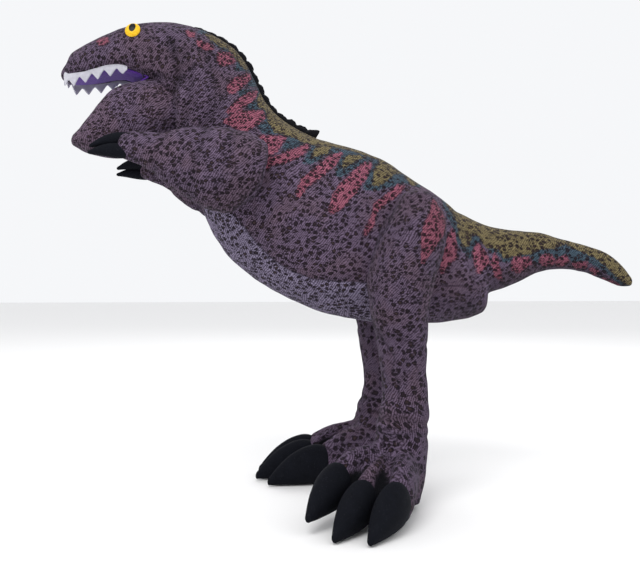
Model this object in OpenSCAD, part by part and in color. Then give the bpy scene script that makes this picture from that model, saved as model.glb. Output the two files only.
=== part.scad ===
// Stuffed dinosaur standing on two legs: sewn knit panels over stuffing, with soft
// joints at neck, jaw, shoulders, hips, ankles and tail. Millimetres, +Z up, head
// towards -Y, the toy's left side towards +X. Floor at Z = 0.

/* [Fabric] */
// Thickness of the knit skin
skin = 1.6; // [1.2:0.1:2.2]
// Thickness of the felt teeth and mouth lining
felt = 2; // [1.2:0.1:2.4]
// Gap between the skin of head and torso and the stuffing inside it
slack = 1.1; // [1:0.1:1.6]

/* [Body] */
// Width of the torso at its widest
torso_width = 120; // [104:1:121]
// Width of the neck and cheeks
head_width = 92; // [80:1:94]
// Width of the tail where it leaves the rump
tail_width = 62; // [50:1:66]
// Side distance from the middle plane to the flat inner face of a thigh or arm
limb_plane = 61; // [60.8:0.1:63]

/* [Feet] */
// Outward turn of the left foot at rest
left_foot_turn = 60; // [40:1:65]
// Inward turn of the right foot at rest
right_foot_turn = 3; // [-10:1:10]
// Distance between neighbouring claws
claw_step = 28.5; // [27.5:0.5:30]
// Height of the left foot's inner claw off the floor
inner_claw_lift = 10; // [0:1:12]
// Thickness of the velvet sole
sole = 4; // [3:0.5:5]

/* [Trim] */
// Width of the plush crest
crest_width = 7; // [5:0.5:9]
// Scallops along the neck part of the crest
crest_scallops = 7; // [5:1:9]
// Diameter of the eye
eye_d = 15.5; // [13:0.5:18]

/* [Hidden] */

// Moves the middle plane so that the floor point under the middle of the toy is the origin
place = [-41.8, 3, 0];
around = 24;
fine = 2;
cap = 3;
ankle = [62, 32, 84];
far_plane = 900;

mauve = [0.36, 0.29, 0.41];
mauve_dark = [0.30, 0.24, 0.35];
white_fill = [0.90, 0.89, 0.86];
black = [0.05, 0.05, 0.06];
violet = [0.36, 0.14, 0.62];
white_felt = [0.90, 0.90, 0.91];
yellow = [0.90, 0.68, 0.10];

// One cross-section: first edge (y, z), second edge (y, z), half width, then the
// squareness of each half, the x centre and the smallest x allowed
function st(y1, z1, y2, z2, w, q1 = 1, q2 = 1, xc = 0, xi = -far_plane) =
    [y1, z1, y2, z2, w, q1, q2, xc, xi];

ht = torso_width / 2;
hh = head_width / 2;
hr = tail_width / 2;
lp = limb_plane;

torso = [st(-80, 365, -156, 285, ht * 0.84), st(-60, 355, -150, 257, ht * 0.94),
    st(-36, 346, -128, 227, ht), st(-10, 339.5, -92, 201, ht), st(16, 329, -52, 182, ht),
    st(42, 314, -10, 171, ht * 0.98), st(63, 300, 32, 166, ht * 0.95),
    st(78, 287, 74, 167, ht * 0.87), st(86, 281, 104, 170, ht * 0.78),
    st(91, 273, 122, 176, ht * 0.68)];
head = [st(-101, 388, -174, 310, hh * 1.02), st(-107, 402, -179, 332, hh),
    st(-114, 416.5, -182, 354, hh * 0.98), st(-124.5, 432, -185, 374, hh * 0.98),
    st(-141, 445.5, -189, 391, hh), st(-160, 455, -198, 405, hh, 1, 0.8),
    st(-185, 462, -208, 409, hh * 0.97, 1, 0.6), st(-209, 461, -222, 409, hh * 0.91, 1, 0.6),
    st(-233, 455, -240, 409, hh * 0.83, 1, 0.6), st(-257, 445, -258, 406, hh * 0.72, 1, 0.6),
    st(-273, 435, -273, 403, hh * 0.58, 1, 0.6), st(-283, 425, -283, 402, hh * 0.42, 1, 0.7)];
jaw = [st(-208, 396, -199, 337, hh * 0.80, 0.8), st(-222, 391, -214, 331, hh * 0.88, 0.7),
    st(-238, 384, -234, 329, hh * 0.84, 0.7), st(-254, 374, -252, 330, hh * 0.74, 0.7),
    st(-268, 363, -268, 333, hh * 0.58, 0.7), st(-277, 354, -278, 338, hh * 0.40, 0.8)];
arm = [st(-104, 335, -113, 278, 24, xc = 76, xi = lp), st(-115, 344, -133, 270, 27, xc = 77, xi = lp),
    st(-142, 348, -158, 278, 26, xc = 78, xi = lp), st(-170, 344, -182, 292, 20, xc = 80, xi = lp),
    st(-193, 340, -201, 308, 14.5, xc = 82, xi = lp), st(-209, 340, -214, 316, 12, xc = 82, xi = lp)];
leg = [st(22, 286, 62, 286, 24, xc = 66, xi = lp), st(11, 262, 71, 262, 31, xc = 67, xi = lp),
    st(3, 236, 67, 236, 33, xc = 67, xi = lp), st(-3, 208, 57, 208, 31, xc = 67, xi = lp),
    st(-1, 180, 54, 180, 27, xc = 68, xi = lp), st(6, 152, 52, 152, 24, xc = 66, xi = 45),
    st(10, 126, 52, 126, 22, xc = 63, xi = 38), st(11, 104, 53, 104, 21, xc = 62, xi = 38),
    st(10, 85.4, 54, 85.4, 21, xc = 62, xi = 38)];
foot = [st(-22, 84, 22, 84, 21), st(-34, 68, 23, 68, 25, xc = -1),
    st(-52, 52, 22, 52, 33, 0.9, xc = -4), st(-66, 36, 20, 36, 40, 0.85, xc = -7),
    st(-71, 19, 18, 19, 42, 0.85, xc = -8), st(-69, 4.3, 16, 4.3, 40, 0.9, xc = -8)];
claw = [st(0, 40, 0, 4, 11.5), st(-12, 41.5, -10, 1, 13.2), st(-30, 35, -28, 0, 13),
    st(-44, 22, -43, 0, 9.5), st(-53, 11, -52, 0, 5)];
// Sideways and forward place of each claw's seam in the foot, inner claw first
claw_at = [[-8 - claw_step, -69.8], [-8, -80], [-8 + claw_step, -75]];
hand_claw = [st(0, 8, 0, -8, 6), st(-10, 8, -9, -8, 6.5), st(-22, 5, -21, -7, 5),
    st(-32, 0, -31, -5, 2.6)];
tail_base = [st(123, 265, 145, 201, hr), st(150, 261, 160, 207, hr * 0.90),
    st(178, 258, 180, 216, hr * 0.74), st(200, 253, 199, 219, hr * 0.58)];
tail_tip = [st(215, 249, 213, 219, hr * 0.53), st(236, 243, 234, 215, hr * 0.45),
    st(256, 234, 253, 208, hr * 0.38), st(270, 223, 266, 203, hr * 0.29),
    st(280, 213, 276, 202, hr * 0.17)];

function spline(a, b, c, d, u) = 0.5 * (2 * b + (c - a) * u + (2 * a - 5 * b + 4 * c - d) * u * u
    + (3 * b - a - 3 * c + d) * u * u * u);
function smooth(s, k = fine) = let (n = len(s) - 1) [for (i = [0:n - 1]) for (j = [0:k - 1])
    spline(s[max(i - 1, 0)], s[i], s[i + 1], s[min(i + 2, n)], j / k), s[n]];

function middle(s) = [(s[0] + s[2]) / 2, (s[1] + s[3]) / 2];
function half(s) = norm([s[0] - s[2], s[1] - s[3]]) / 2;
function up(s) = [s[0] - s[2], s[1] - s[3]] / (2 * half(s));
// Along the loft, from the first cross-section to the last
function along(s, side) = side * [up(s)[1], -up(s)[0]];
function pw(v, q) = sign(v) * pow(abs(v), q);

// A point on cross-section s, shrunk by inset; fold and reach round off a domed end
function spot(s, inset, t, fold, reach, way) =
    let (c = cos(t), q = c >= 0 ? s[5] : s[6], h = (half(s) - inset) * cos(fold),
        w = (s[4] - inset) * cos(fold), m = middle(s) + along(s, way) * reach * sin(fold)
            + up(s) * h * pw(c, q))
    [max(s[7] + w * pw(sin(t), q), s[8] + inset), m[0], m[1]];

// Rows of a loft: [cross-section, fold, reach, way]
function rows(s, d0, d1, way, steps) = concat(
    d0 > 0 ? [for (j = [steps:-1:1]) [s[0], 90 * j / cap, d0, -way]] : [],
    [for (x = s) [x, 0, 0, way]],
    d1 > 0 ? [for (j = [1:steps]) [s[len(s) - 1], 90 * j / cap, d1, way]] : []);
function row_spot(r, inset, t) = spot(r[0], inset, t, r[1], max(r[2] - inset, 0), r[3]);

// Closed stuffed core: a loft with domed or flat ends
module core(s, inset, d0, d1, way = 1, n = around) {
    r = rows(s, d0, d1, way, cap - 1);
    nr = len(r);
    first = s[0];
    last = s[len(s) - 1];
    a = middle(first) - along(first, way) * max(d0 - inset, 0);
    b = middle(last) + along(last, way) * max(d1 - inset, 0);
    polyhedron(points = concat([for (i = [0:nr - 1]) for (j = [0:n - 1])
            row_spot(r[i], inset, 360 * j / n)],
            [[max(first[7], first[8] + inset), a[0], a[1]], [max(last[7], last[8] + inset), b[0], b[1]]]),
        faces = concat([for (i = [0:nr - 2]) for (j = [0:n - 1]) let (k = (j + 1) % n)
            each [turn([i * n + j, i * n + k, (i + 1) * n + k], way),
                turn([i * n + j, (i + 1) * n + k, (i + 1) * n + j], way)]],
            [for (j = [0:n - 1]) turn([nr * n, (j + 1) % n, j], way)],
            [for (j = [0:n - 1]) turn([nr * n + 1, (nr - 1) * n + j, (nr - 1) * n + (j + 1) % n], way)]));
}
function turn(f, way) = way > 0 ? f : [f[2], f[1], f[0]];

// Sewn panel: the part of the skin between two angles, with thickness
module panel(s, t0, t1, thick, d0 = 0, d1 = 0, way = 1, n = around, inset = 0) {
    r = rows(s, d0, d1, way, cap - 1);
    nr = len(r);
    whole = t1 - t0 >= 360;
    nc = max(2, ceil((t1 - t0) * n / 360)) + (whole ? 0 : 1);
    last = whole ? nc : nc - 1;
    step = (t1 - t0) / last;
    m = nr * nc;
    function id(i, j) = i * nc + j % nc;
    polyhedron(points = [for (e = [inset, inset + thick]) for (i = [0:nr - 1]) for (j = [0:nc - 1])
            row_spot(r[i], e, t0 + step * j)],
        faces = concat([for (i = [0:nr - 2]) for (j = [0:last - 1]) each [
                turn([id(i, j), id(i, j + 1), id(i + 1, j + 1)], way),
                turn([id(i, j), id(i + 1, j + 1), id(i + 1, j)], way),
                turn([m + id(i, j), m + id(i + 1, j + 1), m + id(i, j + 1)], way),
                turn([m + id(i, j), m + id(i + 1, j), m + id(i + 1, j + 1)], way)]],
            [for (j = [0:last - 1]) each [
                turn([id(0, j), m + id(0, j), m + id(0, j + 1)], way),
                turn([id(0, j), m + id(0, j + 1), id(0, j + 1)], way),
                turn([id(nr - 1, j), m + id(nr - 1, j + 1), m + id(nr - 1, j)], way),
                turn([id(nr - 1, j), id(nr - 1, j + 1), m + id(nr - 1, j + 1)], way)]],
            whole ? [] : [for (i = [0:nr - 2]) each [
                turn([id(i, 0), m + id(i + 1, 0), m + id(i, 0)], way),
                turn([id(i, 0), id(i + 1, 0), m + id(i + 1, 0)], way),
                turn([id(i, last), m + id(i, last), m + id(i + 1, last)], way),
                turn([id(i, last), m + id(i + 1, last), id(i + 1, last)], way)]]));
}

// Felt strip that stands on a path of (x, y, z) points; every second point is a tooth tip
module tooth_strip(path, drops, thick) {
    n = len(path);
    m = 2 * n;
    function side(i) = let (a = path[max(i - 1, 0)], b = path[min(i + 1, n - 1)],
        d = [b[0] - a[0], b[1] - a[1]]) [-d[1], d[0], 0] / norm(d) * thick;
    polyhedron(points = concat([for (i = [0:n - 1]) each [path[i], path[i] + [0, 0, drops[i]]]],
            [for (i = [0:n - 1]) each [path[i] + side(i), path[i] + [0, 0, drops[i]] + side(i)]]),
        faces = concat([for (i = [0:n - 2]) let (k = 2 * i) each flips([
                [k, k + 2, k + 3], [k, k + 3, k + 1],
                [m + k, m + k + 3, m + k + 2], [m + k, m + k + 1, m + k + 3],
                [k, m + k, m + k + 2], [k, m + k + 2, k + 2],
                [k + 1, k + 3, m + k + 3], [k + 1, m + k + 3, m + k + 1]], drops[0] > 0)],
            flips([[0, 1, m + 1], [0, m + 1, m],
                [m - 2, m + m - 2, m + m - 1], [m - 2, m + m - 1, m - 1]], drops[0] > 0)));
}
function flips(f, yes) = yes ? [for (x = f) [x[2], x[1], x[0]]] : f;

// Lip line on one side of a jaw, from the mouth corner forwards, and its full loop
function lip(s, z_col, lift, i0) = [for (i = [i0:len(s) - 1])
    [0.74 * s[i][4], s[i][z_col - 1], s[i][z_col] + lift]];
function loop(p) = concat([for (q = p) q], [for (i = [len(p) - 1:-1:0]) [-p[i][0], p[i][1], p[i][2]]]);

// Scalloped plate on the top edge of a loft
module crest(s, count, low, high) {
    n = len(s) - 1;
    steps = count * 4;
    function at(v) = let (x = min(v, 0.9999) * n, i = floor(x)) s[i] + (s[i + 1] - s[i]) * (x - i);
    base = [for (j = [0:steps]) let (e = at(j / steps), o = up(e)) [e[0], e[1]] + o * 0.4];
    rim = [for (j = [0:steps]) let (e = at(j / steps), o = up(e))
        [e[0], e[1]] + o * (low + (high - low) * abs(sin(180 * j / 4)))];
    rotate([90, 0, 90]) linear_extrude(crest_width, center = true)
        polygon(concat(base, [for (j = [steps:-1:0]) rim[j]]));
}

module in_place() { translate(place) children(); }
module right_side() { in_place() mirror([1, 0, 0]) children(); }
module foot_frame(side, angle) {
    in_place() translate([side * ankle[0], ankle[1], 0]) rotate(side * angle)
        mirror([side > 0 ? 0 : 1, 0, 0]) children();
}
module foot_claw(k, lift = 0) {
    translate([claw_at[k][0], claw_at[k][1], lift]) core(smooth(claw), 0, 4, 5, -1, 16);
}
module eye_at(side) {
    in_place() translate([side * 34.5, -220, 445]) rotate([0, side * 62, 0]) {
        sphere(d = eye_d, $fn = 48);
    }
}

ts = smooth(torso);
hs = smooth(head);
js = smooth(jaw);
as = smooth(arm);
ls = smooth(leg);
fs = smooth(foot);
bs = smooth(tail_base);
ps = smooth(tail_tip);
fill = skin + 0.2;
loose = skin + slack;
neck_rows = 10;

module torso_left_panel() { color(mauve) in_place() panel(ts, 0.2, 124.8, skin, 13, 14); }
module torso_right_panel() { color(mauve) in_place() panel(ts, 235.2, 359.8, skin, 13, 14); }
module belly_panel() { color(mauve_dark) in_place() panel(ts, 125.2, 234.8, skin, 13, 14); }
module torso_stuffing() { color(white_fill) in_place() core(ts, loose, 13, 14); }
module crest_back() { color(black) in_place() crest([for (i = [0:4]) ts[i]], 5, 5, 11); }

module head_left_panel() { color(mauve) in_place() panel(hs, 25.2, 147.8, skin, 13, 6, -1); }
module head_right_panel() { color(mauve) in_place() panel(hs, 212.2, 334.8, skin, 13, 6, -1); }
module head_top_gusset() { color(mauve_dark) in_place() panel(hs, -24.8, 24.8, skin, 13, 6, -1); }
module throat_panel() {
    color(mauve_dark) in_place() panel([for (i = [0:neck_rows]) hs[i]], 148.2, 211.8, skin, 13, 0, -1);
}
module palate_lining() {
    color(violet) in_place()
        panel([for (i = [neck_rows + 1:len(hs) - 1]) hs[i]], 148.2, 211.8, felt - 0.4, 0, 0, -1);
}
module head_stuffing() { color(white_fill) in_place() core(hs, loose, 13, 6, -1); }
module upper_teeth() {
    color(white_felt) in_place() let (p = loop(lip(hs, 3, -0.5, 14)))
        tooth_strip(p, [for (i = [0:len(p) - 1]) i % 2 == 0 ? -6 : -12], felt);
}
module eye_left() { color(yellow) eye_at(1); }
module eye_right() { color(yellow) eye_at(-1); }
module crest_neck() {
    color(black) in_place() crest([for (i = [0:10]) hs[10 - i]], crest_scallops, 5, 11);
}

module jaw_skin() { color(mauve) in_place() panel(js, 62.2, 297.8, skin, 5, 5, -1); }
module jaw_lining() { color(violet) in_place() panel(js, -61.8, 61.8, skin, 5, 5, -1); }
module jaw_stuffing() { color(white_fill) in_place() core(js, fill, 5, 5, -1); }
module lower_teeth() {
    color(white_felt) in_place() let (p = loop(lip(js, 1, 0.5, 3)))
        tooth_strip(p, [for (i = [0:len(p) - 1]) i % 2 == 0 ? 1.5 : 5], felt);
}

module arm_skin() { panel(as, 0, 360, skin, 8, 5, -1, 18); }
module arm_stuffing() { core(as, fill, 8, 5, -1, 18); }
module arm_claw(x, y, z, lean) {
    translate([x, y, z]) rotate([lean, 0, 0]) core(smooth(hand_claw), 0, 2, 2, -1, 12);
}
module claw_upper() { arm_claw(76, -218.9, 331, 6); }
module claw_lower() { arm_claw(89, -218.9, 325, -2); }
module arm_left_skin() { color(mauve) in_place() arm_skin(); }
module arm_left_stuffing() { color(white_fill) in_place() arm_stuffing(); }
module arm_left_claw_a() { color(black) in_place() claw_upper(); }
module arm_left_claw_b() { color(black) in_place() claw_lower(); }
module arm_right_skin() { color(mauve) right_side() arm_skin(); }
module arm_right_stuffing() { color(white_fill) right_side() arm_stuffing(); }
module arm_right_claw_a() { color(black) right_side() claw_upper(); }
module arm_right_claw_b() { color(black) right_side() claw_lower(); }

module leg_outer() { panel(ls, 0.2, 179.8, skin, 10, 0, -1, 20); }
module leg_inner() { panel(ls, 180.2, 359.8, skin, 10, 0, -1, 20); }
module leg_stuffing() { core(ls, fill, 10, 0, -1, 20); }
module leg_left_outer_panel() { color(mauve) in_place() leg_outer(); }
module leg_left_inner_panel() { color(mauve_dark) in_place() leg_inner(); }
module leg_left_stuffing() { color(white_fill) in_place() leg_stuffing(); }
module leg_right_outer_panel() { color(mauve) right_side() leg_outer(); }
module leg_right_inner_panel() { color(mauve_dark) right_side() leg_inner(); }
module leg_right_stuffing() { color(white_fill) right_side() leg_stuffing(); }

bag_rows = 6;
module foot_upper() { panel(fs, 0, 360, skin, 0, 0, -1, 20); }
module foot_stuffing() { core([for (i = [0:bag_rows - 1]) fs[i]], fill, 0, 0, -1, 20); }
module pellet_bag() { core([for (i = [bag_rows:len(fs) - 1]) fs[i]], fill, 0, 0, -1, 20); }
module foot_sole() {
    linear_extrude(sole) polygon([for (j = [0:35]) [38.5 * sin(10 * j) - 8, -27 - 41.5 * cos(10 * j)]]);
}
module foot_left_upper() { color(mauve) foot_frame(1, left_foot_turn) foot_upper(); }
module foot_left_sole() { color(black) foot_frame(1, left_foot_turn) foot_sole(); }
module foot_left_stuffing() { color(white_fill) foot_frame(1, left_foot_turn) foot_stuffing(); }
module foot_left_pellet_bag() { color(white_fill) foot_frame(1, left_foot_turn) pellet_bag(); }
module foot_left_claw_a() { color(black) foot_frame(1, left_foot_turn) foot_claw(0, inner_claw_lift); }
module foot_left_claw_b() { color(black) foot_frame(1, left_foot_turn) foot_claw(1); }
module foot_left_claw_c() { color(black) foot_frame(1, left_foot_turn) foot_claw(2); }
module foot_right_upper() { color(mauve) foot_frame(-1, -right_foot_turn) foot_upper(); }
module foot_right_sole() { color(black) foot_frame(-1, -right_foot_turn) foot_sole(); }
module foot_right_stuffing() { color(white_fill) foot_frame(-1, -right_foot_turn) foot_stuffing(); }
module foot_right_pellet_bag() { color(white_fill) foot_frame(-1, -right_foot_turn) pellet_bag(); }
module foot_right_claw_a() { color(black) foot_frame(-1, -right_foot_turn) foot_claw(0); }
module foot_right_claw_b() { color(black) foot_frame(-1, -right_foot_turn) foot_claw(1); }
module foot_right_claw_c() { color(black) foot_frame(-1, -right_foot_turn) foot_claw(2); }

module tail_base_left_panel() { color(mauve) in_place() panel(bs, 0.2, 179.8, skin, 12, 6, 1, 20); }
module tail_base_right_panel() { color(mauve) in_place() panel(bs, 180.2, 359.8, skin, 12, 6, 1, 20); }
module tail_base_stuffing() { color(white_fill) in_place() core(bs, fill, 12, 6, 1, 20); }
module tail_tip_left_panel() { color(mauve) in_place() panel(ps, 0.2, 179.8, skin * 0.8, 6, 3, 1, 16); }
module tail_tip_right_panel() { color(mauve) in_place() panel(ps, 180.2, 359.8, skin * 0.8, 6, 3, 1, 16); }
module tail_tip_stuffing() { color(white_fill) in_place() core(ps, skin * 0.8 + 0.2, 6, 3, 1, 16); }

torso_left_panel();
torso_right_panel();
belly_panel();
torso_stuffing();
crest_back();
head_left_panel();
head_right_panel();
head_top_gusset();
throat_panel();
palate_lining();
head_stuffing();
upper_teeth();
eye_left();
eye_right();
crest_neck();
jaw_skin();
jaw_lining();
jaw_stuffing();
lower_teeth();
arm_left_skin();
arm_left_stuffing();
arm_left_claw_a();
arm_left_claw_b();
arm_right_skin();
arm_right_stuffing();
arm_right_claw_a();
arm_right_claw_b();
leg_left_outer_panel();
leg_left_inner_panel();
leg_left_stuffing();
leg_right_outer_panel();
leg_right_inner_panel();
leg_right_stuffing();
foot_left_upper();
foot_left_sole();
foot_left_stuffing();
foot_left_pellet_bag();
foot_left_claw_a();
foot_left_claw_b();
foot_left_claw_c();
foot_right_upper();
foot_right_sole();
foot_right_stuffing();
foot_right_pellet_bag();
foot_right_claw_a();
foot_right_claw_b();
foot_right_claw_c();
tail_base_left_panel();
tail_base_right_panel();
tail_base_stuffing();
tail_tip_left_panel();
tail_tip_right_panel();
tail_tip_stuffing();
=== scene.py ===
import bmesh, bpy, math, random
import numpy as np
from mathutils import Vector, Matrix, noise

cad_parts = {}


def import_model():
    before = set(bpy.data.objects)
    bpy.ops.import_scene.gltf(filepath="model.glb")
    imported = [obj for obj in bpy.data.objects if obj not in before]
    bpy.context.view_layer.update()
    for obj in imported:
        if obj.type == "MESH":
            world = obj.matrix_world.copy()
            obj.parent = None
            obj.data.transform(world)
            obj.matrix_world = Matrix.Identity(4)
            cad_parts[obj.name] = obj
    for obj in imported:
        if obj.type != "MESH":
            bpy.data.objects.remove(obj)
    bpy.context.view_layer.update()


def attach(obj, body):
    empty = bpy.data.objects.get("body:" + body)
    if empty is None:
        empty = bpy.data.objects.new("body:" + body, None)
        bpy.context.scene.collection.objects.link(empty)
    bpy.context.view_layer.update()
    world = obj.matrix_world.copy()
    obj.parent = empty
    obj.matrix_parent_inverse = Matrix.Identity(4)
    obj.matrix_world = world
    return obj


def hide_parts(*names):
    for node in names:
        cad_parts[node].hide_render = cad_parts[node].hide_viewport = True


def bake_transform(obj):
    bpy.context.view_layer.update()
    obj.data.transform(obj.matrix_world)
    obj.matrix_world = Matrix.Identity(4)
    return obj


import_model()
random.seed(7)

MM = 0.001
PLACE = np.array([-41.8, 3.0, 0.0])      # the CAD's shift of the toy's middle plane, mm
VOXEL = 2.6            # mm


def world(p):
    """Toy millimetres (middle plane at x = 0) to row-frame metres."""
    return (np.asarray(p, float) + PLACE) * MM


# ------------------------------------------------------------------ camera and stage
TARGET = np.array([0.0, -42.0, 207.0])
AZ, EL, DIST = math.radians(85), math.radians(0.5), 850.0
BACK = np.array([math.sin(AZ) * math.cos(EL), -math.cos(AZ) * math.cos(EL), math.sin(EL)])
EYE_POINT = TARGET + DIST * BACK
SENSOR = 36                              # mm
FOCAL, IMAGE_WIDTH = 850, 640            # pixels


def make_camera():
    cam = bpy.data.objects.new("camera", bpy.data.cameras.new("camera"))
    bpy.context.scene.collection.objects.link(cam)
    cam.data.sensor_width = SENSOR
    cam.data.lens = SENSOR * FOCAL / IMAGE_WIDTH
    cam.data.clip_start, cam.data.clip_end = 0.02, 50
    cam.location = Vector(world(EYE_POINT))
    cam.rotation_mode = "QUATERNION"
    cam.rotation_quaternion = Vector(-BACK).to_track_quat("-Z", "Y")
    bpy.context.scene.camera = cam


def make_stage():
    bpy.ops.mesh.primitive_plane_add(size=12, location=(0, 0, -0.0004))
    floor = bpy.context.object
    floor.name = "floor"
    mat = bpy.data.materials.new("floor")
    mat.use_nodes = True
    b = mat.node_tree.nodes["Principled BSDF"]
    b.inputs["Base Color"].default_value = (0.86, 0.855, 0.85, 1)
    b.inputs["Roughness"].default_value = 0.9
    floor.data.materials.append(mat)
    w = bpy.data.worlds.new("studio")
    bpy.context.scene.world = w
    w.use_nodes = True
    w.node_tree.nodes["Background"].inputs[0].default_value = (0.97, 0.98, 1.0, 1)
    w.node_tree.nodes["Background"].inputs[1].default_value = 0.95
    bpy.context.scene.view_settings.view_transform = "Standard"
    for name, pos, size, power in (("key", (1.3, -0.7, 1.8), 1.2, 27),
                                   ("fill", (1.2, 1.3, 0.9), 1.6, 2),
                                   ("rim", (-1.4, 0.3, 1.5), 1.4, 9)):
        li = bpy.data.lights.new(name, "AREA")
        li.size = size
        li.energy = power
        ob = bpy.data.objects.new(name, li)
        bpy.context.scene.collection.objects.link(ob)
        ob.location = pos
        ob.rotation_mode = "QUATERNION"
        ob.rotation_quaternion = (Vector((0, 0, 0.22)) - Vector(pos)).to_track_quat("-Z", "Y")


# ------------------------------------------------------------------ lofts
# A row of a loft: first edge (y, z), second edge (y, z), half width, then the squareness
# of the first and second half, and the x centre. Millimetres.
def row(y1, z1, y2, z2, w, q1=1.0, q2=1.0, xc=0.0):
    return np.array([y1, z1, y2, z2, w, q1, q2, xc], float)


def spline(a, b, c, d, u):
    return 0.5 * (2 * b + (c - a) * u + (2 * a - 5 * b + 4 * c - d) * u * u
                  + (3 * b - a - 3 * c + d) * u ** 3)


def smooth_rows(s, k):
    n = len(s) - 1
    out = [spline(s[max(i - 1, 0)], s[i], s[i + 1], s[min(i + 2, n)], j / k)
           for i in range(n) for j in range(k)]
    return out + [s[n]]


def edges(r):
    a, b = r[0:2], r[2:4]
    m, h = (a + b) / 2, np.linalg.norm(a - b) / 2
    up = (a - b) / (2 * h)
    return m, h, up


def ring(r, n, fold=0.0, push=None, arc=None, inset=0.0):
    """Points round one row; arc limits the angles, fold shrinks a domed end."""
    m, h, up = edges(r)
    if push is not None:
        m = m + push * math.sin(fold)
    t = np.linspace(0, 2 * math.pi, n, endpoint=False) if arc is None else np.linspace(*arc, n)
    c, s = np.cos(t), np.sin(t)
    q = np.where(c >= 0, r[5], r[6])
    k = math.cos(fold)
    x = r[7] + (r[4] - inset) * k * np.sign(s) * np.abs(s) ** q
    v = (h - inset) * k * np.sign(c) * np.abs(c) ** q
    return np.stack([x, m[0] + v * up[0], m[1] + v * up[1]], axis=1)


def loft(rows, d0, d1, n=40, caps=5, k=4):
    """Closed loft with domed ends, as (vertices, faces)."""
    rows = smooth_rows(rows, k)
    m0, m1 = edges(rows[0])[0], edges(rows[1])[0]
    e0, e1 = edges(rows[-2])[0], edges(rows[-1])[0]
    back, front = (m0 - m1) / np.linalg.norm(m0 - m1), (e1 - e0) / np.linalg.norm(e1 - e0)
    rings = [ring(rows[0], n, math.pi / 2 * j / caps, back * d0) for j in range(caps - 1, 0, -1)]
    rings += [ring(r, n) for r in rows]
    rings += [ring(rows[-1], n, math.pi / 2 * j / caps, front * d1) for j in range(1, caps)]
    a = edges(rows[0])[0] + back * d0
    b = edges(rows[-1])[0] + front * d1
    verts = np.concatenate(rings + [np.array([[rows[0][7], *a], [rows[-1][7], *b]])])
    nr = len(rings)
    faces = []
    for i in range(nr - 1):
        for j in range(n):
            p, q = (j, (j + 1) % n)
            faces.append((i * n + p, i * n + q, (i + 1) * n + q, (i + 1) * n + p))
    for j in range(n):
        faces.append((nr * n, (j + 1) % n, j))
        faces.append((nr * n + 1, (nr - 1) * n + j, (nr - 1) * n + (j + 1) % n))
    return verts, faces


def moved(geo, matrix=None, mirror=False, shift=(0, 0, 0)):
    v, f = geo
    v = v.copy()
    if matrix is not None:
        v = v @ np.array(matrix.to_3x3()).T
    v = v + np.array(shift, float)
    if mirror:
        v[:, 0] *= -1
        f = [tuple(reversed(x)) for x in f]
    return v, f


def mesh_from(name, geo):
    v, f = geo
    me = bpy.data.meshes.new(name)
    me.from_pydata([tuple(p) for p in v], [], [tuple(int(i) for i in x) for x in f])
    me.validate()
    me.update()
    return me


def union(name, geos, voxel=VOXEL, smooth=6):
    """Voxel union of closed lofts, smoothed; returns (vertices, faces) in toy mm."""
    verts, faces, off = [], [], 0
    for v, f in geos:
        verts.append(v)
        faces += [tuple(i + off for i in x) for x in f]
        off += len(v)
    me = mesh_from(name, (np.concatenate(verts), faces))
    bm = bmesh.new()
    bm.from_mesh(me)
    bmesh.ops.recalc_face_normals(bm, faces=bm.faces)
    bm.to_mesh(me)
    bm.free()
    ob = bpy.data.objects.new(name, me)
    bpy.context.scene.collection.objects.link(ob)
    m = ob.modifiers.new("r", "REMESH")
    m.mode, m.voxel_size, m.use_smooth_shade = "VOXEL", voxel, True
    s = ob.modifiers.new("s", "SMOOTH")
    s.factor, s.iterations = 0.5, smooth
    out = evaluated(ob)
    bpy.data.objects.remove(ob)
    return out


def evaluated(ob):
    dep = bpy.context.evaluated_depsgraph_get()
    me = bpy.data.meshes.new_from_object(ob.evaluated_get(dep))
    v = np.empty(len(me.vertices) * 3)
    me.vertices.foreach_get("co", v)
    f = [tuple(p.vertices) for p in me.polygons]
    bpy.data.meshes.remove(me)
    return v.reshape(-1, 3), f


def normals_of(geo):
    me = mesh_from("n", geo)
    n = np.empty(len(me.vertices) * 3)
    me.vertices.foreach_get("normal", n)
    bpy.data.meshes.remove(me)
    return n.reshape(-1, 3)


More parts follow.
